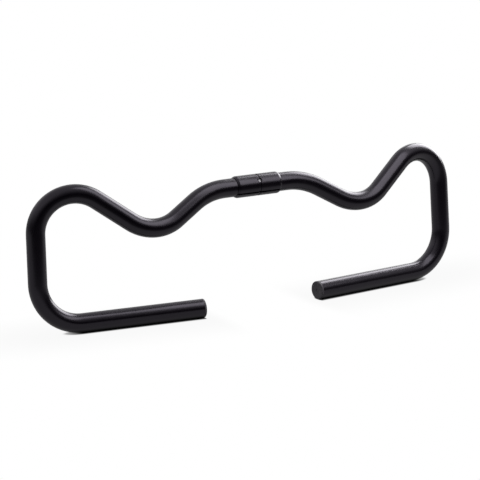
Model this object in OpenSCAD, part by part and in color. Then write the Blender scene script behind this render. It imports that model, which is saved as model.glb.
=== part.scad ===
// Multi-position handlebar: one bent tube, a split clamp shim round its middle and a plug in each end.
// The clamp axis is X, up is Z and the rider's view comes from the -Y side.
// The origin is the middle of the clamp, and the bar stands on its two level grips.

/* [Bar tube] */
// Outside diameter of the tube, which is also the grip size
tube_od = 22.2; // [20:0.1:23.8]
// Wall thickness of the tube
tube_wall = 2; // [1.4:0.1:3]
// Bevel on the inner and outer edge of each tube end
tube_end_bevel = 0.4; // [0.2:0.05:0.6]

/* [Crown bend beside the clamp] */
// Distance from the middle of the clamp out to the corner of the crown bend
crown_out = 65; // [60:1:80]
// Bend radius of the crown, at the middle of the tube
crown_r = 80; // [60:1:90]

/* [Valley bend where the bar dips] */
// Distance from the middle of the clamp out to the corner of the valley bend
valley_out = 141; // [132:1:150]
// How far the valley corner comes forward of the clamp axis
valley_fore = 14; // [0:1:30]
// How far the valley corner drops below the clamp axis
valley_drop = 44; // [34:1:50]
// Bend radius of the valley
valley_r = 50; // [40:1:56]

/* [Horn bend at the top of each side] */
// Distance from the middle of the clamp out to the corner of the horn bend
horn_out = 273.5; // [260:0.5:290]
// How far the horn corner lies behind the clamp axis
horn_back = 24; // [0:1:36]
// How far the horn corner rises above the clamp axis
horn_rise = 56; // [46:1:64]
// Bend radius of the horn
horn_r = 45; // [38:1:50]

/* [Grip bend at the foot of each side] */
// Distance from the middle of the clamp out to the corner of the grip bend
foot_out = 277.5; // [264:0.5:290]
// How far the grip corner lies behind the clamp axis
foot_back = 18; // [0:1:30]
// How far the grips lie below the clamp axis
grip_drop = 138; // [126:1:160]
// Bend radius of the grip corner
foot_r = 50; // [38:1:58]

/* [Grips] */
// Distance from the middle plane to the end of each grip tube
grip_end_out = 80; // [50:0.5:120]
// How far the grip ends lie forward of the clamp axis
grip_end_fore = 6; // [0:1:16]

/* [Clamp shim] */
// Outside diameter of the shim, the size that a stem clamps
shim_od = 26; // [25:0.1:27]
// Length of the shim along the bar
shim_len = 59; // [46:1:66]
// Clearance between the shim and the tube
shim_seat = 0.05; // [0.02:0.01:0.1]
// Width of each of the two lengthwise splits
split_gap = 2.4; // [0.6:0.1:3]
// Angle of the front split below the horizontal
split_angle = 34; // [0:1:60]
// Length of the bevel at each end of the shim
shim_bevel_len = 2.5; // [1:0.1:4]
// Thickness left at each end of the shim, at the foot of its bevel
shim_edge = 0.65; // [0.4:0.05:1.2]
// Width of the ring groove round the middle of the shim
groove_w = 2.6; // [1.4:0.1:4]
// Depth of the ring groove
groove_depth = 0.8; // [0.2:0.05:1]
// Diameter of the sight hole that shows the centre of the bar
sight_d = 4.4; // [3:0.1:6]
// Angle of the sight hole above the horizontal
sight_angle = 34; // [10:1:60]
// Width of the bevel round the sight hole
sight_bevel = 0.3; // [0.1:0.05:0.5]

/* [End plugs] */
// Thickness of the plug's flange, outside the tube
flange_t = 2.5; // [1.8:0.1:4]
// Radius of the flange's rounded edge
flange_round = 0.9; // [0.4:0.1:1.4]
// Diameter of the dish in the plug's face
dish_d = 15.6; // [10:0.2:17]
// Depth of the dish in the plug's face
dish_depth = 0.7; // [0.3:0.05:1]
// Diameter of the small dimple in the middle of the dish
dimple_d = 4; // [2:0.2:6]
// Depth of the dimple below the dish
dimple_depth = 0.3; // [0.1:0.05:0.5]
// Length of the plug's stem, inside the tube
stem_len = 17; // [14:0.5:26]
// Wall thickness of the hollow stem
stem_wall = 1.5; // [1:0.1:2.4]
// How far the ring ribs stand out of the stem
rib_h = 0.6; // [0.3:0.05:1]
// Length of each ring rib
rib_len = 2.2; // [1.4:0.1:2.8]
// Distance from one ring rib to the next
rib_pitch = 4; // [3:0.1:4.4]
// Number of ring ribs
rib_count = 3; // [2:1:3]
// Clearance between the ribs and the inside of the tube
rib_fit = 0.05; // [0.02:0.01:0.1]
// Width of the slots that let the stem squeeze
slot_w = 2; // [1:0.1:3]
// Length of the slots from the open end of the stem
slot_len = 9; // [5:0.5:11]

/* [Hidden] */
$fn = 96;
// How far a cutting shape reaches past what it cuts
past = 1;
// Each bend is this much fatter than the straights, and each straight runs this far on into its bends,
// so that the pieces of the centre line cross cleanly and fuse to one tube
bend_swell = 0.05;
run_on = 0.8;

tube_r = tube_od / 2;
bore_r = tube_r - tube_wall;

// Corners of the right half of the bar's centre line, from the clamp to the grip end
corner = [
    [0, 0, 0],
    [crown_out, 0, 0],
    [valley_out, -valley_fore, -valley_drop],
    [horn_out, horn_back, horn_rise],
    [foot_out, foot_back, -grip_drop],
    [grip_end_out, -grip_end_fore, -grip_drop]
];
last = len(corner) - 1;
// Bend radius at each corner, with none at the two ends
bend_r = [0, crown_r, valley_r, horn_r, foot_r, 0];

// Direction of the centre line after corner i
function heading(i) = (corner[i + 1] - corner[i]) / norm(corner[i + 1] - corner[i]);
// Angle that the tube turns through at corner i
function bend(i) = acos(heading(i - 1) * heading(i));
// Length of the corner that the bend at corner i takes from each straight beside it
function setback(i) = i == 0 || i == last ? 0 : bend_r[i] * tan(bend(i) / 2);
// Straight tube between corner i and the next
function straight(i) = norm(corner[i + 1] - corner[i]) - setback(i) - setback(i + 1);
// Axis that the tube bends about at corner i, where the clamp starts with the Y axis
function bend_axis(i) = i == 0 ? [0, 1, 0]
    : cross(heading(i - 1), heading(i)) / norm(cross(heading(i - 1), heading(i)));
// Turn of the tube about its own length between one bend and the next
function twist(i) = atan2(
    cross(bend_axis(i - 1), bend_axis(i)) * heading(i - 1),
    bend_axis(i - 1) * bend_axis(i)
);

shim_r = shim_od / 2;
shim_bore_r = tube_r + shim_seat;

rib_r = bore_r - rib_fit;
stem_r = rib_r - rib_h;
// Plastic left between the flange and the hollow of the stem
stem_floor = 1;
dish_r = dish_d / 2;
dish_sphere_r = (dish_r * dish_r + dish_depth * dish_depth) / (2 * dish_depth);

// Places its children on the clamp axis, pointing out to one side of the bar
module towards(side) {
    mirror([side == "left" ? 1 : 0, 0, 0])
        rotate([0, 90, 0])
            children();
}

// Carries its children through the bend at corner i
module round_bend(i) {
    rotate(twist(i))
        translate([bend_r[i], 0, 0])
            rotate([0, bend(i), 0])
                translate([-bend_r[i], 0, 0])
                    children();
}

// Carries its children along the bar from the clamp to the start of straight i
module at_straight(i, from = 0) {
    if (from == i) {
        children();
    } else {
        translate([0, 0, straight(from)])
            round_bend(from + 1)
                at_straight(i, from + 1)
                    children();
    }
}

module at_grip_end() {
    at_straight(last - 1)
        translate([0, 0, straight(last - 1)])
            children();
}

// Round rod that fills the bend at corner i
module elbow(i, r) {
    rotate(twist(i))
        translate([bend_r[i], 0, 0])
            rotate([90, 0, 180])
                rotate_extrude(angle = bend(i))
                    translate([bend_r[i], 0])
                        circle(r = r);
}

// Round rod along the whole bar, and past each grip end by the given length
module rod(r, overshoot = 0) {
    translate([-straight(0) - run_on, 0, 0])
        rotate([0, 90, 0])
            cylinder(h = 2 * (straight(0) + run_on), r = r);
    for (side = ["left", "right"], i = [1 : last - 1])
        towards(side) {
            at_straight(i - 1)
                translate([0, 0, straight(i - 1)])
                    elbow(i, r + bend_swell);
            at_straight(i)
                translate([0, 0, -run_on])
                    cylinder(h = run_on + straight(i) + (i == last - 1 ? overshoot : run_on), r = r);
        }
}

// Ring that takes the outer bevel off a tube end
module outer_end_bevel() {
    slant = tube_end_bevel + 2 * past;
    difference() {
        translate([0, 0, -tube_end_bevel])
            cylinder(h = tube_end_bevel + past, r = tube_r + 2 * past);
        translate([0, 0, -tube_end_bevel - past])
            cylinder(h = slant, r1 = tube_r + past, r2 = tube_r + past - slant);
    }
}

// Cone that opens the bore of a tube end
module inner_end_bevel() {
    slant = tube_end_bevel + 2 * past;
    translate([0, 0, -tube_end_bevel - past])
        cylinder(h = slant, r1 = bore_r - past, r2 = bore_r - past + slant);
}

// The bar itself: one tube swept from straights and bends, cut square and bevelled at both ends
module bar_tube() {
    color("#1c1c20")
        difference() {
            rod(tube_r);
            rod(bore_r, past);
            for (side = ["left", "right"])
                towards(side)
                    at_grip_end() {
                        outer_end_bevel();
                        inner_end_bevel();
                    }
        }
}

// Half section of the shim, from its bore out, with bevelled ends
module shim_section() {
    half = shim_len / 2;
    difference() {
        polygon([
            [shim_bore_r, -half],
            [shim_bore_r + shim_edge, -half],
            [shim_r, -half + shim_bevel_len],
            [shim_r, half - shim_bevel_len],
            [shim_bore_r + shim_edge, half],
            [shim_bore_r, half]
        ]);
        translate([shim_r - groove_depth, -groove_w / 2])
            square([groove_depth + past, groove_w]);
    }
}

// Turns its children so that the split plane, which is flat when made, faces the front at its angle
module at_split() {
    rotate([split_angle, 0, 0])
        children();
}

// Half of the shim on one side of the split plane: up is 1 for the upper half and -1 for the lower
module shim_half(up) {
    reach = shim_r + past;
    at_split()
        intersection() {
            rotate([0, 90, 0])
                rotate_extrude()
                    shim_section();
            translate([-shim_len, -reach, up > 0 ? split_gap / 2 : -reach])
                cube([2 * shim_len, 2 * reach, reach - split_gap / 2]);
        }
}

// Round cutter for the sight hole, with a cone for the bevel round its mouth
module sight_hole() {
    mouth = shim_r - groove_depth;
    rotate([90 - sight_angle, 0, 0]) {
        cylinder(h = shim_r + past, r = sight_d / 2);
        translate([0, 0, mouth - sight_bevel])
            cylinder(h = sight_bevel + past, r1 = sight_d / 2, r2 = sight_d / 2 + sight_bevel + past);
    }
}

module clamp_shim_upper() {
    color("#26262b")
        difference() {
            shim_half(1);
            sight_hole();
        }
}

module clamp_shim_lower() {
    color("#26262b")
        shim_half(-1);
}

// Round flange with a rounded outer edge, from the tube's end face outward
module flange() {
    rotate_extrude() {
        square([tube_r - flange_round, flange_t]);
        square([tube_r, flange_t - flange_round]);
        translate([tube_r - flange_round, flange_t - flange_round])
            circle(r = flange_round);
    }
}

// Ring ribs that grip the bore, each a cone that widens towards the flange
module ring_ribs() {
    for (k = [1 : rib_count])
        translate([0, 0, -k * rib_pitch])
            cylinder(h = rib_len, r1 = stem_r, r2 = rib_r);
}

// Push-in plug, with its flange on the tube's end face and its stem inside the tube
module end_plug() {
    hollow_len = stem_len - stem_floor;
    difference() {
        union() {
            flange();
            translate([0, 0, -stem_len])
                cylinder(h = stem_len, r = stem_r);
            ring_ribs();
        }
        translate([0, 0, -stem_len - past])
            cylinder(h = hollow_len + past, r = stem_r - stem_wall);
        for (turn = [0, 90])
            rotate(turn)
                translate([-tube_r, -slot_w / 2, -stem_len - past])
                    cube([tube_od, slot_w, slot_len + past]);
        translate([0, 0, flange_t - dish_depth + dish_sphere_r])
            sphere(r = dish_sphere_r);
        translate([0, 0, flange_t - dish_depth - dimple_depth])
            cylinder(h = dimple_depth + past, r = dimple_d / 2);
    }
}

module end_plug_left() {
    color("#3a3a3c")
        towards("left")
            at_grip_end()
                end_plug();
}

module end_plug_right() {
    color("#3a3a3c")
        towards("right")
            at_grip_end()
                end_plug();
}

bar_tube();
clamp_shim_upper();
clamp_shim_lower();
end_plug_left();
end_plug_right();
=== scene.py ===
# %% [markdown]
# # A multi-position handlebar
# The real thing is one aluminium tube, bent eight times and coated matt black. A split sleeve, called a
# shim, fills the tube out to the clamp size in the middle, and a plastic plug closes each end. The bar
# stands on its two level grips on a white studio floor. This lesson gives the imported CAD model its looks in
# Blender.

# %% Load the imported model
import math

import bpy
from mathutils import Matrix, Vector


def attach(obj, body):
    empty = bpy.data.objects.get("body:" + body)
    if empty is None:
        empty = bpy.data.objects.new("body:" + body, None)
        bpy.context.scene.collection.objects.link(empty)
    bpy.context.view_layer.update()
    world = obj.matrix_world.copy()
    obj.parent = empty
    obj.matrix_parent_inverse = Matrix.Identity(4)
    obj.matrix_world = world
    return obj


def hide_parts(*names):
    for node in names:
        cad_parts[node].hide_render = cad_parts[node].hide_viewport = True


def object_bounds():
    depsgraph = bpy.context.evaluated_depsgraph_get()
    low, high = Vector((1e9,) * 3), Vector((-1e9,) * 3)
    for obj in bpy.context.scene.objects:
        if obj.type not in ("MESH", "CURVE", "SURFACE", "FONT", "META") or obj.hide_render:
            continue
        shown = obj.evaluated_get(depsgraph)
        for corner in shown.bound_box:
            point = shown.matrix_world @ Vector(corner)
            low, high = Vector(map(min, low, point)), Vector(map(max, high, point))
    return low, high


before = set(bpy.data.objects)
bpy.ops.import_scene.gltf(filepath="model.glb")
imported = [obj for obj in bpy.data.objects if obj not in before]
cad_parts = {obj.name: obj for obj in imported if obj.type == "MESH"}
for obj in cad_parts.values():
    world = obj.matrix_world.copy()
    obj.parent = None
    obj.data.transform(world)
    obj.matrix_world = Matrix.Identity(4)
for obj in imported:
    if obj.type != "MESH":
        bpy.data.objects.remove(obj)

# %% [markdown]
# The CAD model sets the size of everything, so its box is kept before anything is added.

CAD_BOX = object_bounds()
print("CAD box, metres:", [tuple(round(v, 4) for v in corner) for corner in CAD_BOX])

# %% [markdown]
# The camera and the floor's level are settled before the pieces, because every other choice is judged
# through them. The picture was taken with a long lens from the left and a little above, so the far grip
# looks only slightly smaller than the near one. The first vector is the camera's place, and the other two
# are its own right and up directions. Its backward direction is square to both.

# %% Camera
MM = 0.001
CAMERA_PLACE = Vector((-1.16536, -2.10155, 0.43462))
CAMERA_RIGHT = Vector((0.87536, -0.48266, -0.02791))
CAMERA_UP = Vector((0.12263, 0.16582, 0.97850))
LENS_MM = 154.5
SENSOR_MM = 36
HALF_PIXEL = 0.5 / 480


def add_camera():
    data = bpy.data.cameras.new("studio_camera")
    data.lens = LENS_MM
    data.sensor_width = SENSOR_MM
    data.shift_x = -HALF_PIXEL
    data.shift_y = HALF_PIXEL
    camera = bpy.data.objects.new("studio_camera", data)
    bpy.context.scene.collection.objects.link(camera)
    right = CAMERA_RIGHT.normalized()
    back = right.cross(CAMERA_UP).normalized()
    up = back.cross(right)
    turn = Matrix((right, up, back)).transposed().to_4x4()
    camera.matrix_world = Matrix.Translation(CAMERA_PLACE) @ turn
    bpy.context.scene.camera = camera
    return camera


camera = add_camera()
print("camera at", tuple(round(v, 3) for v in camera.location), "with a lens of", LENS_MM, "mm")

# %% [markdown]
# Small helpers keep the modelling cells short. An operator works on everything that is selected, so each
# step starts from nothing selected, and faces or edges are then picked by their place.

# %% Helpers for modelling


def start_clean():
    if bpy.context.object and bpy.context.object.mode != "OBJECT":
        bpy.ops.object.mode_set(mode="OBJECT")
    bpy.ops.object.select_all(action="DESELECT")


def pick(piece):
    start_clean()
    piece.select_set(True)
    bpy.context.view_layer.objects.active = piece


def finish_modifier(piece, kind, **settings):
    modifier = piece.modifiers.new(kind.lower(), kind)
    for name, value in settings.items():
        setattr(modifier, name, value)
    bpy.context.view_layer.objects.active = piece
    bpy.ops.object.modifier_apply(modifier=modifier.name)


def faces_at_edges(piece):
    uses = {}
    for polygon in piece.data.polygons:
        for key in polygon.edge_keys:
            uses[key] = uses.get(key, 0) + 1
    return uses


def open_edges(piece):
    return sum(1 for count in faces_at_edges(piece).values() if count != 2)


def report(piece):
    corners = [vertex.co for vertex in piece.data.vertices]
    low = [round(min(c[i] for c in corners) / MM, 1) for i in range(3)]
    high = [round(max(c[i] for c in corners) / MM, 1) for i in range(3)]
    counts = f"{len(piece.data.polygons)} faces, {open_edges(piece)} open edges"
    print(f"{piece.name}: {counts}, {low} to {high} mm")


print("helpers for modelling ready")

# %% [markdown]
# ## The bar
# A tube bender feeds a straight tube, bends it round a former, turns it about its own length and feeds it
# on. The corners below are where the straights of the right half would meet, from the middle of the clamp
# to the grip end, with the radius that the former gives each bend. These are the sizes that the CAD source
# is drawn from.

# %% Route of the centre line
TUBE_R = 11.1 * MM
WALL = 2 * MM
END_BEVEL = 0.4 * MM
CORNERS = [
    Vector((0, 0, 0)),
    Vector((65, 0, 0)) * MM,
    Vector((141, -14, -44)) * MM,
    Vector((273.5, 24, 56)) * MM,
    Vector((277.5, 18, -138)) * MM,
    Vector((80, -6, -138)) * MM,
]
BEND_R = [0, 80 * MM, 50 * MM, 45 * MM, 50 * MM, 0]


def heading(i):
    return (CORNERS[i + 1] - CORNERS[i]).normalized()


def bend_angle(i):
    return heading(i - 1).angle(heading(i))


def setback(i):
    return BEND_R[i] * math.tan(bend_angle(i) / 2) if BEND_R[i] else 0


def straight_length(i):
    return (CORNERS[i + 1] - CORNERS[i]).length - setback(i) - setback(i + 1)


BENDS = range(1, len(CORNERS) - 1)
for i in BENDS:
    fed = straight_length(i - 1) / MM
    print(f"bend {i}: {math.degrees(bend_angle(i)):.1f} degrees after {fed:.1f} mm of straight")

# %% [markdown]
# The same feed and bend works in edit mode. Two circles, one for the outside and one for the bore, are
# extruded along each straight and spun through each bend, so the wall stays even and no ring is ever
# twisted. A curve with a round bevel would be quicker, but its handles only come close to a true arc, and
# the bore would need a second curve.

# %% Feed and bend the tube
RING_SIDES = 72
RING_TURN = math.radians(3)


def add_ring(radius):
    bpy.ops.mesh.primitive_circle_add(
        vertices=RING_SIDES, radius=radius, location=(0, 0, 0), rotation=(0, math.pi / 2, 0)
    )


def feed(i):
    bpy.ops.mesh.extrude_region_move(TRANSFORM_OT_translate={"value": heading(i) * straight_length(i)})


def bend_round(i):
    axis = heading(i - 1).cross(heading(i)).normalized()
    start = CORNERS[i] - heading(i - 1) * setback(i)
    centre = start + axis.cross(heading(i - 1)) * BEND_R[i]
    steps = max(2, round(bend_angle(i) / RING_TURN))
    bpy.ops.mesh.spin(steps=steps, angle=-bend_angle(i), center=centre, axis=axis)


def bend_half_bar():
    start_clean()
    add_ring(TUBE_R)
    bar = bpy.context.object
    bpy.ops.object.mode_set(mode="EDIT")
    add_ring(TUBE_R - WALL)
    bpy.ops.object.mode_set(mode="OBJECT")
    bpy.ops.object.transform_apply(location=True, rotation=True, scale=True)
    bpy.ops.object.mode_set(mode="EDIT")
    bpy.ops.mesh.select_all(action="SELECT")
    feed(0)
    for i in BENDS:
        bend_round(i)
        feed(i)
    bpy.ops.mesh.bridge_edge_loops()
    bpy.ops.object.mode_set(mode="OBJECT")
    bar.name = "bent_bar"
    return bar


bar = bend_half_bar()
report(bar)

# %% [markdown]
# The cut ends are square with a small bevel on both edges, which a Bevel modifier gives to every edge
# sharper than the facets of the tube. The second half is the first one mirrored at the middle of the clamp.
# Spinning and mirroring can leave faces inside out, so doubled points are merged and the faces set to point
# outwards, before the bevel and again once the two halves are one.

# %% Bevel the end and mirror the bar
SAME_POINT = 0.001 * MM
SEAM_GAP = 0.01 * MM
SMOOTH_BELOW = math.radians(25)
SQUARE_EDGE = math.radians(60)


def point_outwards(piece):
    pick(piece)
    bpy.ops.object.mode_set(mode="EDIT")
    bpy.ops.mesh.select_all(action="SELECT")
    bpy.ops.mesh.remove_doubles(threshold=SAME_POINT)
    bpy.ops.mesh.normals_make_consistent(inside=False)
    bpy.ops.object.mode_set(mode="OBJECT")
    bpy.ops.object.shade_smooth_by_angle(angle=SMOOTH_BELOW)


point_outwards(bar)
finish_modifier(bar, "BEVEL", width=END_BEVEL, segments=2, limit_method="ANGLE", angle_limit=SQUARE_EDGE)
finish_modifier(bar, "MIRROR", merge_threshold=SEAM_GAP)
point_outwards(bar)
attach(bar, "root")
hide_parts("bar_tube")
report(bar)

# %% [markdown]
# ## The clamp shim
# A stem of the larger clamp size grips the bar here, so a thin sleeve fills the gap. It has bevelled ends,
# a ring groove in the middle, and a lengthwise split on each side that lets it close on the tube. It is
# drawn as a lathe would turn it: one circle is extruded and scaled from point to point of the section, and
# the last ring is bridged back to the first. It is turned twice, and a cut then leaves the upper half of
# one and the lower half of the other.

# %% Turn the shim
SHIM_R = 13 * MM
SHIM_BORE_R = 11.15 * MM
SHIM_HALF = 29.5 * MM
SHIM_EDGE_R = 11.8 * MM
SHIM_BEVEL = 2.5 * MM
GROOVE_HALF = 1.3 * MM
GROOVE_R = 12.2 * MM
SPLIT_HALF = 1.2 * MM
SPLIT_ANGLE = math.radians(34)
SHIM_SECTION = [
    (-SHIM_HALF, SHIM_BORE_R),
    (-SHIM_HALF, SHIM_EDGE_R),
    (-SHIM_HALF + SHIM_BEVEL, SHIM_R),
    (-GROOVE_HALF, SHIM_R),
    (-GROOVE_HALF, GROOVE_R),
    (GROOVE_HALF, GROOVE_R),
    (GROOVE_HALF, SHIM_R),
    (SHIM_HALF - SHIM_BEVEL, SHIM_R),
    (SHIM_HALF, SHIM_EDGE_R),
    (SHIM_HALF, SHIM_BORE_R),
]
SHIM_SIDES = 96


def turn_on_lathe(name, section, sides):
    start_clean()
    place, radius = section[0]
    bpy.ops.mesh.primitive_circle_add(
        vertices=sides, radius=radius, location=(place, 0, 0), rotation=(0, math.pi / 2, 0)
    )
    turned = bpy.context.object
    turned.name = name
    bpy.ops.object.transform_apply(location=True, rotation=True, scale=True)
    bpy.ops.object.mode_set(mode="EDIT")
    bpy.ops.mesh.select_all(action="SELECT")
    for (x0, r0), (x1, r1) in zip(section, section[1:]):
        bpy.ops.mesh.extrude_region_move(TRANSFORM_OT_translate={"value": (x1 - x0, 0, 0)})
        bpy.ops.transform.resize(value=(1, r1 / r0, r1 / r0), center_override=(x1, 0, 0))
    bpy.ops.object.mode_set(mode="OBJECT")
    return turned


def close_lathe_ring(turned):
    pick(turned)
    uses = faces_at_edges(turned)
    for edge in turned.data.edges:
        edge.select = uses.get(edge.key, 0) == 1
    bpy.ops.object.mode_set(mode="EDIT")
    bpy.ops.mesh.select_mode(type="EDGE")
    bpy.ops.mesh.bridge_edge_loops()
    bpy.ops.object.mode_set(mode="OBJECT")


def keep_one_side(piece, up):
    across = Vector((0, -math.sin(SPLIT_ANGLE), math.cos(SPLIT_ANGLE)))
    pick(piece)
    bpy.ops.object.mode_set(mode="EDIT")
    bpy.ops.mesh.select_all(action="SELECT")
    bpy.ops.mesh.bisect(
        plane_co=across * SPLIT_HALF * up, plane_no=across * up, use_fill=True, clear_inner=True
    )
    bpy.ops.object.mode_set(mode="OBJECT")


shim_halves = {}
for name, up in (("shim_upper", 1), ("shim_lower", -1)):
    half = turn_on_lathe(name, SHIM_SECTION, SHIM_SIDES)
    close_lathe_ring(half)
    keep_one_side(half, up)
    point_outwards(half)
    shim_halves[name] = half
    report(half)

# %% [markdown]
# Machined edges are never razor sharp, and a thin line of light along them is what the eye looks for. A
# narrow Bevel modifier breaks every edge of both halves. The sight hole is drilled last, with a cutter that
# flares at its mouth, so the modifier doesn't have to find its way round the hole.

# %% Break the edges and drill the sight hole
EDGE_BREAK = 0.14 * MM
TURNED_EDGE = math.radians(18)
SIGHT_R = 2.2 * MM
SIGHT_FLARE = 0.3 * MM
CUTTER_REACH = 2 * MM
CUTTER_SIDES = 48
SIGHT_ANGLE = math.radians(34)
SIGHT_DIRECTION = Vector((0, -math.cos(SIGHT_ANGLE), math.sin(SIGHT_ANGLE)))


def sight_cutter():
    mouth = GROOVE_R - SIGHT_FLARE
    steps = [(0, SIGHT_R), (mouth, SIGHT_R), (mouth + CUTTER_REACH, SIGHT_R + CUTTER_REACH)]
    cutter = turn_on_lathe("sight_cutter", steps, CUTTER_SIDES)
    pick(cutter)
    bpy.ops.object.mode_set(mode="EDIT")
    bpy.ops.mesh.select_all(action="SELECT")
    bpy.ops.mesh.region_to_loop()
    bpy.ops.mesh.fill_holes(sides=0)
    bpy.ops.object.mode_set(mode="OBJECT")
    point_outwards(cutter)
    cutter.rotation_mode = "QUATERNION"
    cutter.rotation_quaternion = Vector((1, 0, 0)).rotation_difference(SIGHT_DIRECTION)
    bpy.context.view_layer.update()
    return cutter


for half in shim_halves.values():
    finish_modifier(
        half, "BEVEL", width=EDGE_BREAK, segments=2, limit_method="ANGLE", angle_limit=TURNED_EDGE
    )
cutter = sight_cutter()
finish_modifier(shim_halves["shim_upper"], "BOOLEAN", operation="DIFFERENCE", object=cutter, solver="EXACT")
bpy.data.objects.remove(cutter)
for name, node in (("shim_upper", "clamp_shim_upper"), ("shim_lower", "clamp_shim_lower")):
    half = shim_halves[name]
    point_outwards(half)
    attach(half, "root")
    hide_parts(node)
    report(half)

# %% [markdown]
# ## Finishes
# Every finish is built from the position of the surface in the object's own space, so it stays on the piece
# from any side. Two helpers do what all three finishes need: one lets the roughness drift in broad patches,
# and the other turns a height into fine bumps. A noise's scale is its number of waves in a metre.

# %% Helpers for finishes
NOISE_LOW = 0.3
NOISE_HIGH = 0.7
PATCH_DETAIL = 2
GRAIN_DETAIL = 3


def start_material(name):
    material = bpy.data.materials.new(name)
    material.use_nodes = True
    return material, material.node_tree.nodes, material.node_tree.links


def add_noise(nodes, links, scale, detail):
    place = nodes.new("ShaderNodeTexCoord")
    noise = nodes.new("ShaderNodeTexNoise")
    noise.inputs["Scale"].default_value = scale
    noise.inputs["Detail"].default_value = detail
    links.new(place.outputs["Object"], noise.inputs["Vector"])
    return noise.outputs["Fac"]


def vary_roughness(nodes, links, shader, scale, limits):
    spread = nodes.new("ShaderNodeMapRange")
    spread.inputs["From Min"].default_value = NOISE_LOW
    spread.inputs["From Max"].default_value = NOISE_HIGH
    spread.inputs["To Min"].default_value = limits[0]
    spread.inputs["To Max"].default_value = limits[1]
    links.new(add_noise(nodes, links, scale, PATCH_DETAIL), spread.inputs["Value"])
    links.new(spread.outputs["Result"], shader.inputs["Roughness"])


def add_bump(nodes, links, shader, height, depth):
    bump = nodes.new("ShaderNodeBump")
    bump.inputs["Strength"].default_value = 1
    bump.inputs["Distance"].default_value = depth
    links.new(height, bump.inputs["Height"])
    links.new(bump.outputs["Normal"], shader.inputs["Normal"])


print("helpers for finishes ready")

# %% [markdown]
# The coat is almost black with a soft gloss and a faint violet sheen. What makes it look like a coat and
# not like a hole in the picture is small: a fine grain, and patches where the gloss is a little stronger or
# weaker. The sight hole of the shim shows a white mark on the middle of the tube, by which a mechanic
# centres the bar in the stem. It is painted in the coat as a small ellipse, because a separate disc would
# never lie as flat.

# %% Coat of the tube
COAT_IOR = 1.55
COAT_BLACK = (0.0030, 0.0016, 0.0044, 1)
COAT_SHEEN = (0.92, 0.85, 1, 1)
COAT_ROUGH = (0.22, 0.27)
COAT_PATCHES = 45
COAT_GRAIN = 3000
COAT_GRAIN_DEPTH = 0.001 * MM
MARK_WHITE = (0.8, 0.8, 0.8, 1)
MARK_PLACE = SIGHT_DIRECTION * TUBE_R + Vector((0.6, 0, 0)) * MM
MARK_HALF = Vector((1.0, 1.9, 1.9)) * MM


def centre_mark_mask(nodes, links):
    place = nodes.new("ShaderNodeTexCoord")
    away = nodes.new("ShaderNodeVectorMath")
    away.operation = "SUBTRACT"
    away.inputs[1].default_value = MARK_PLACE
    links.new(place.outputs["Object"], away.inputs[0])
    shares = nodes.new("ShaderNodeVectorMath")
    shares.operation = "DIVIDE"
    shares.inputs[1].default_value = MARK_HALF
    links.new(away.outputs["Vector"], shares.inputs[0])
    length = nodes.new("ShaderNodeVectorMath")
    length.operation = "LENGTH"
    links.new(shares.outputs["Vector"], length.inputs[0])
    inside = nodes.new("ShaderNodeMath")
    inside.operation = "LESS_THAN"
    inside.inputs[1].default_value = 1
    links.new(length.outputs["Value"], inside.inputs[0])
    return inside.outputs["Value"]


def matt_coat():
    material, nodes, links = start_material("matt_coat")
    shader = nodes["Principled BSDF"]
    shader.inputs["IOR"].default_value = COAT_IOR
    shader.inputs["Specular Tint"].default_value = COAT_SHEEN
    paint = nodes.new("ShaderNodeMix")
    paint.data_type = "RGBA"
    paint.inputs["A"].default_value = COAT_BLACK
    paint.inputs["B"].default_value = MARK_WHITE
    links.new(centre_mark_mask(nodes, links), paint.inputs["Factor"])
    links.new(paint.outputs["Result"], shader.inputs["Base Color"])
    vary_roughness(nodes, links, shader, COAT_PATCHES, COAT_ROUGH)
    grain = add_noise(nodes, links, COAT_GRAIN, GRAIN_DETAIL)
    add_bump(nodes, links, shader, grain, COAT_GRAIN_DEPTH)
    return material


bar.data.materials.append(matt_coat())
print("coat on", bar.name)

# %% [markdown]
# The shim has nearly the same coat, but on a turned surface. Very fine rings round it, from a noise that is
# stretched round the bar, stand for the marks of the turning tool.

# %% Coat of the shim
SHIM_BLACK = (0.0034, 0.0020, 0.0048, 1)
SHIM_ROUGH = (0.22, 0.28)
SHIM_PATCHES = 90
TURNING_MARKS = 2600
TURNING_DETAIL = 2
TURNING_STRETCH = (1, 0.02, 0.02)
TURNING_DEPTH = 0.0015 * MM


def turned_coat():
    material, nodes, links = start_material("turned_coat")
    shader = nodes["Principled BSDF"]
    shader.inputs["Base Color"].default_value = SHIM_BLACK
    shader.inputs["IOR"].default_value = COAT_IOR
    shader.inputs["Specular Tint"].default_value = COAT_SHEEN
    place = nodes.new("ShaderNodeTexCoord")
    stretch = nodes.new("ShaderNodeMapping")
    stretch.inputs["Scale"].default_value = TURNING_STRETCH
    links.new(place.outputs["Object"], stretch.inputs["Vector"])
    rings = nodes.new("ShaderNodeTexNoise")
    rings.inputs["Scale"].default_value = TURNING_MARKS
    rings.inputs["Detail"].default_value = TURNING_DETAIL
    links.new(stretch.outputs["Vector"], rings.inputs["Vector"])
    add_bump(nodes, links, shader, rings.outputs["Fac"], TURNING_DEPTH)
    vary_roughness(nodes, links, shader, SHIM_PATCHES, SHIM_ROUGH)
    return material


shim_coat = turned_coat()
for half in shim_halves.values():
    half.data.materials.append(shim_coat)
print("coat on", ", ".join(half.name for half in shim_halves.values()))

# %% [markdown]
# The plugs are moulded plastic. The CAD solid already has the rounded flange, the dish and the ring ribs,
# so it is shown as it is and only gets a better material: a dark grey, duller than the coat, with the fine
# orange peel that a textured mould leaves.

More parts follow.
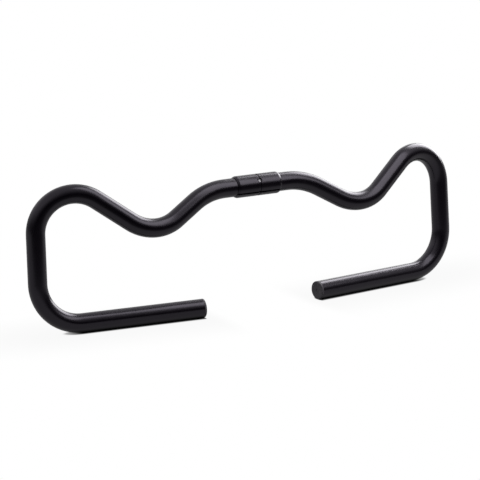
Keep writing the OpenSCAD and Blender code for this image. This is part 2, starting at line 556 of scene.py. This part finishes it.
# %% Plastic of the end plugs
PLUG_GREY = (0.092, 0.084, 0.098, 1)
PLUG_IOR = 1.46
PLUG_ROUGH = (0.56, 0.66)
PLUG_PATCHES = 160
MOULD_GRAIN = 2200
MOULD_GRAIN_DEPTH = 0.006 * MM


def moulded_plastic():
    material, nodes, links = start_material("moulded_plastic")
    shader = nodes["Principled BSDF"]
    shader.inputs["Base Color"].default_value = PLUG_GREY
    shader.inputs["IOR"].default_value = PLUG_IOR
    vary_roughness(nodes, links, shader, PLUG_PATCHES, PLUG_ROUGH)
    grain = add_noise(nodes, links, MOULD_GRAIN, GRAIN_DETAIL)
    add_bump(nodes, links, shader, grain, MOULD_GRAIN_DEPTH)
    return material


plug_plastic = moulded_plastic()
for name in ("end_plug_left", "end_plug_right"):
    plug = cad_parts[name]
    for slot in plug.material_slots:
        slot.material = plug_plastic
    print("plastic on", plug.name, "with", len(plug.material_slots), "slot")

# %% [markdown]
# ## The studio
# The floor and the world are drawn with soft ramps and a little arithmetic, so these come first as helpers.
# A ramp takes a source from one level to another between two places, and eases in and out of the change.

# %% Helpers for the floor and the world


def ramp(nodes, links, source, start, end, low, high):
    step = nodes.new("ShaderNodeMapRange")
    step.interpolation_type = "SMOOTHSTEP"
    step.inputs["From Min"].default_value = start
    step.inputs["From Max"].default_value = end
    step.inputs["To Min"].default_value = low
    step.inputs["To Max"].default_value = high
    links.new(source, step.inputs["Value"])
    return step.outputs["Result"]


def combine(nodes, links, operation, first, second):
    node = nodes.new("ShaderNodeMath")
    node.operation = operation
    for value, socket in ((first, node.inputs[0]), (second, node.inputs[1])):
        if isinstance(value, (int, float)):
            socket.default_value = value
        else:
            links.new(value, socket)
    return node.outputs["Value"]


def floor_place(nodes, links):
    place = nodes.new("ShaderNodeTexCoord")
    parts = nodes.new("ShaderNodeSeparateXYZ")
    links.new(place.outputs["Object"], parts.inputs["Vector"])
    return parts.outputs["X"], parts.outputs["Y"]


print("helpers for the floor and the world ready")

# %% [markdown]
# Each grip rests on the floor along one line, from its end to the corner where the tube bends up. A painted
# shadow, thin and dark, hugs these lines and stands in for the shade that the bar casts on a white floor, so
# their distance is worked out at each point of the floor. The distance grows fast past the end of a grip,
# where the painted shadow stops, and slowly past the corner, where it runs on.

# %% Distance from the lines of rest
GRIP_END = CORNERS[5]
GRIP_CORNER = CORNERS[4]
REST_SLOPE = (GRIP_CORNER.y - GRIP_END.y) / (GRIP_CORNER.x - GRIP_END.x)
BEND_START_X = GRIP_CORNER.x - BEND_R[4]
END_HURRY = 4
CORNER_DELAY = 0.5


def rest_line_distance(nodes, links):
    x, y = floor_place(nodes, links)
    out = combine(nodes, links, "ABSOLUTE", x, 0)
    along = combine(nodes, links, "SUBTRACT", out, GRIP_END.x)
    rise = combine(nodes, links, "MULTIPLY", along, REST_SLOPE)
    line = combine(nodes, links, "ADD", rise, GRIP_END.y)
    aside = combine(nodes, links, "ABSOLUTE", combine(nodes, links, "SUBTRACT", y, line), 0)
    past_end = combine(nodes, links, "SUBTRACT", GRIP_END.x, out)
    past_corner = combine(nodes, links, "SUBTRACT", out, BEND_START_X)
    inside = combine(nodes, links, "MULTIPLY", past_end, END_HURRY)
    outside = combine(nodes, links, "MULTIPLY", past_corner, CORNER_DELAY)
    beyond = combine(nodes, links, "MAXIMUM", combine(nodes, links, "MAXIMUM", inside, outside), 0)
    squares = [combine(nodes, links, "MULTIPLY", side, side) for side in (aside, beyond)]
    distance = combine(nodes, links, "SQRT", combine(nodes, links, "ADD", *squares), 0)
    return distance, outside


print(f"lines of rest: {GRIP_END.x / MM:.0f} to {BEND_START_X / MM:.1f} mm out, slope {REST_SLOPE:.4f}")

# %% [markdown]
# The floor's own colour is a dark grey, and darker still in front of the bar, as painted shade that stands in
# for a room kept dark on the camera's side, which gives a black coat its deep core. It is the glow that makes
# it white. Light Path lets the camera see the glow wherever the floor lies in the open. It fades out close to
# the lines of rest, so the dark grey shows there as a painted shadow, on top of the bar's own shade, and part
# of the glow comes back past the corners as a paler painted shade. Reflections see a weaker glow, which is
# missing right under the bar, as a painted shadow in the reflection, and fades out in front of it, as painted
# shade.

# %% Floor and background
FLOOR_SIZE = 20
FLOOR_NEAR = 0.12
# the darker floor colour in front of the bar, a painted shade
FLOOR_FRONT_PAINTED_SHADE = 0.06
FLOOR_ROUGH = 0.9
FRONT_Y = -0.35
NEAR_Y = -0.15
# Painted shadow: the camera's glow is missing within SHADE_CORE of the lines of rest, mostly back by
# SHADE_EDGE and whole by SHADE_REACH, and paler past the corners.
SHADE_CORE = 6.8 * MM
SHADE_EDGE = 12.2 * MM
SHADE_REACH = 120 * MM
GLOW_NEAR = 0.94
GLOW_LIFT = 0.6
LIFT_REACH = 14 * MM
GLOW_REFLECTED = 0.34
REFLECTED_CORE = 4 * MM


# Painted shadow: this glow leaves the dark grey floor showing along the lines of rest, as a thin dark shadow
# with a faint fringe, paler past the corners.
def camera_glow_and_painted_shadow(nodes, links, away, outside):
    close = ramp(nodes, links, away, SHADE_CORE, SHADE_EDGE, 0, GLOW_NEAR)
    wide = ramp(nodes, links, away, SHADE_EDGE, SHADE_REACH, 0, 1 - GLOW_NEAR)
    lifted = ramp(nodes, links, outside, 0, LIFT_REACH, 0, GLOW_LIFT)
    return combine(nodes, links, "ADD", combine(nodes, links, "MAXIMUM", close, lifted), wide)


# Painted shadow and shade in reflections: the glow that reflections see is missing under the bar and fades
# out in front of it.
def reflected_glow_and_painted_shade(nodes, links, away, y):
    sheet = ramp(nodes, links, y, FRONT_Y, NEAR_Y, 0, GLOW_REFLECTED)
    under = ramp(nodes, links, away, REFLECTED_CORE, SHADE_EDGE, 0, 1)
    return combine(nodes, links, "MULTIPLY", under, sheet)


# The floor's white glow, with the painted shadow and painted shade cut out of it.
def floor_glow_and_painted_shadow(nodes, links, y):
    away, outside = rest_line_distance(nodes, links)
    path = nodes.new("ShaderNodeLightPath")
    glossy, passed = path.outputs["Is Glossy Ray"], path.outputs["Is Transmission Ray"]
    mirrored = combine(nodes, links, "MAXIMUM", glossy, passed)
    seen = combine(
        nodes, links, "MULTIPLY", camera_glow_and_painted_shadow(nodes, links, away, outside), path.outputs["Is Camera Ray"]
    )
    reflected = combine(nodes, links, "MULTIPLY", mirrored, reflected_glow_and_painted_shade(nodes, links, away, y))
    return combine(nodes, links, "MAXIMUM", seen, reflected)


def floor_material():
    material, nodes, links = start_material("white_floor")
    y = floor_place(nodes, links)[1]
    shader = nodes["Principled BSDF"]
    # Painted shade: the floor's colour is darker in front of the bar, in place of a dark room on that side.
    colour = ramp(nodes, links, y, FRONT_Y, NEAR_Y, FLOOR_FRONT_PAINTED_SHADE, FLOOR_NEAR)
    links.new(colour, shader.inputs["Base Color"])
    shader.inputs["Roughness"].default_value = FLOOR_ROUGH
    shader.inputs["Specular IOR Level"].default_value = 0
    glow = nodes.new("ShaderNodeEmission")
    glow.inputs["Strength"].default_value = 1
    blend = nodes.new("ShaderNodeMixShader")
    links.new(floor_glow_and_painted_shadow(nodes, links, y), blend.inputs["Fac"])
    links.new(shader.outputs["BSDF"], blend.inputs[1])
    links.new(glow.outputs["Emission"], blend.inputs[2])
    links.new(blend.outputs["Shader"], nodes["Material Output"].inputs["Surface"])
    return material


def add_floor():
    start_clean()
    bpy.ops.mesh.primitive_plane_add(size=FLOOR_SIZE, location=(0, 0, CAD_BOX[0].z))
    floor = bpy.context.object
    floor.name = "studio_floor"
    bpy.ops.object.transform_apply(location=True, rotation=True, scale=True)
    floor.data.materials.append(floor_material())


add_floor()
print("floor at", round(CAD_BOX[0].z / MM, 1), "mm")

# %% [markdown]
# Black things are lit by what they reflect, so the panels are placed for their reflections. A tall narrow
# one high at the front right draws the soft band on the upper front of the tube. A large one at the right
# draws the bright flanks of the slopes and the horns, and a weak one lower behind it carries that light on
# towards the back. Each is given by the brightness that a reflection sees, and its power follows from that.

# %% Lamps
LOOK_AT = Vector((0, 0, -50)) * MM
# name, azimuth and elevation in degrees, then distance, width and height in metres, and brightness
PANELS = [
    ("panel_front_right", 37, 56, 1.0, 0.5, 1.13, 2.2),
    ("panel_right", 112, 29, 1.4, 0.84, 1.32, 5.6),
    ("panel_back_right", 139, 12, 1.9, 0.74, 0.88, 1.0),
]


def soft_panel(name, azimuth, elevation, distance, width, height, brightness):
    turn, lift = math.radians(azimuth), math.radians(elevation)
    away = Vector((math.sin(turn) * math.cos(lift), -math.cos(turn) * math.cos(lift), math.sin(lift)))
    data = bpy.data.lights.new(name, "AREA")
    data.shape = "RECTANGLE"
    data.size = width
    data.size_y = height
    data.energy = math.pi * width * height * brightness
    lamp = bpy.data.objects.new(name, data)
    bpy.context.scene.collection.objects.link(lamp)
    lamp.location = LOOK_AT + away * distance
    lamp.rotation_mode = "QUATERNION"
    lamp.rotation_quaternion = away.to_track_quat("Z", "Y")
    lamp.visible_camera = False


for name, *settings in PANELS:
    soft_panel(name, *settings)
print("panels:", ", ".join(name for name, *_ in PANELS))

# %% [markdown]
# The world is the room itself: white where the camera sees it, and for light a grey that is strongest in a
# belt behind the bar, a little weaker overhead, and fades almost to black towards the camera's side and the
# floor.

# %% World
CAMERA_SIDE_Y = -1.2
OPEN_SIDE_Y = -0.22
ROOM_GREY = 0.8
RISE_SHARE = 1.3
BACK_SHARE = 0.4
LEVEL_SHARE = 0.04
CEILING_START_Z = 0.35
CEILING_END_Z = 0.9
CEILING_SHARE = 0.7


def add_world():
    world = bpy.data.worlds.new("studio_room")
    world.use_nodes = True
    bpy.context.scene.world = world
    nodes, links = world.node_tree.nodes, world.node_tree.links
    direction = nodes.new("ShaderNodeTexCoord")
    parts = nodes.new("ShaderNodeSeparateXYZ")
    links.new(direction.outputs["Generated"], parts.inputs["Vector"])
    behind = ramp(nodes, links, parts.outputs["Y"], CAMERA_SIDE_Y, OPEN_SIDE_Y, 0, ROOM_GREY)
    rise = combine(nodes, links, "MULTIPLY", parts.outputs["Z"], RISE_SHARE)
    back = combine(nodes, links, "MAXIMUM", parts.outputs["Y"], 0)
    above = combine(nodes, links, "ADD", rise, combine(nodes, links, "MULTIPLY", back, BACK_SHARE))
    open_side = ramp(nodes, links, above, 0, 1, LEVEL_SHARE, 1)
    ceiling = ramp(nodes, links, parts.outputs["Z"], CEILING_START_Z, CEILING_END_Z, 1, CEILING_SHARE)
    belt = combine(nodes, links, "MULTIPLY", behind, open_side)
    grey = combine(nodes, links, "MULTIPLY", belt, ceiling)
    path = nodes.new("ShaderNodeLightPath")
    strength = combine(nodes, links, "MAXIMUM", path.outputs["Is Camera Ray"], grey)
    background = nodes["Background"]
    background.inputs["Color"].default_value = (1, 1, 1, 1)
    links.new(strength, background.inputs["Strength"])


add_world()
bpy.context.scene.view_settings.view_transform = "Standard"
print("world ready:", bpy.context.scene.world.name)
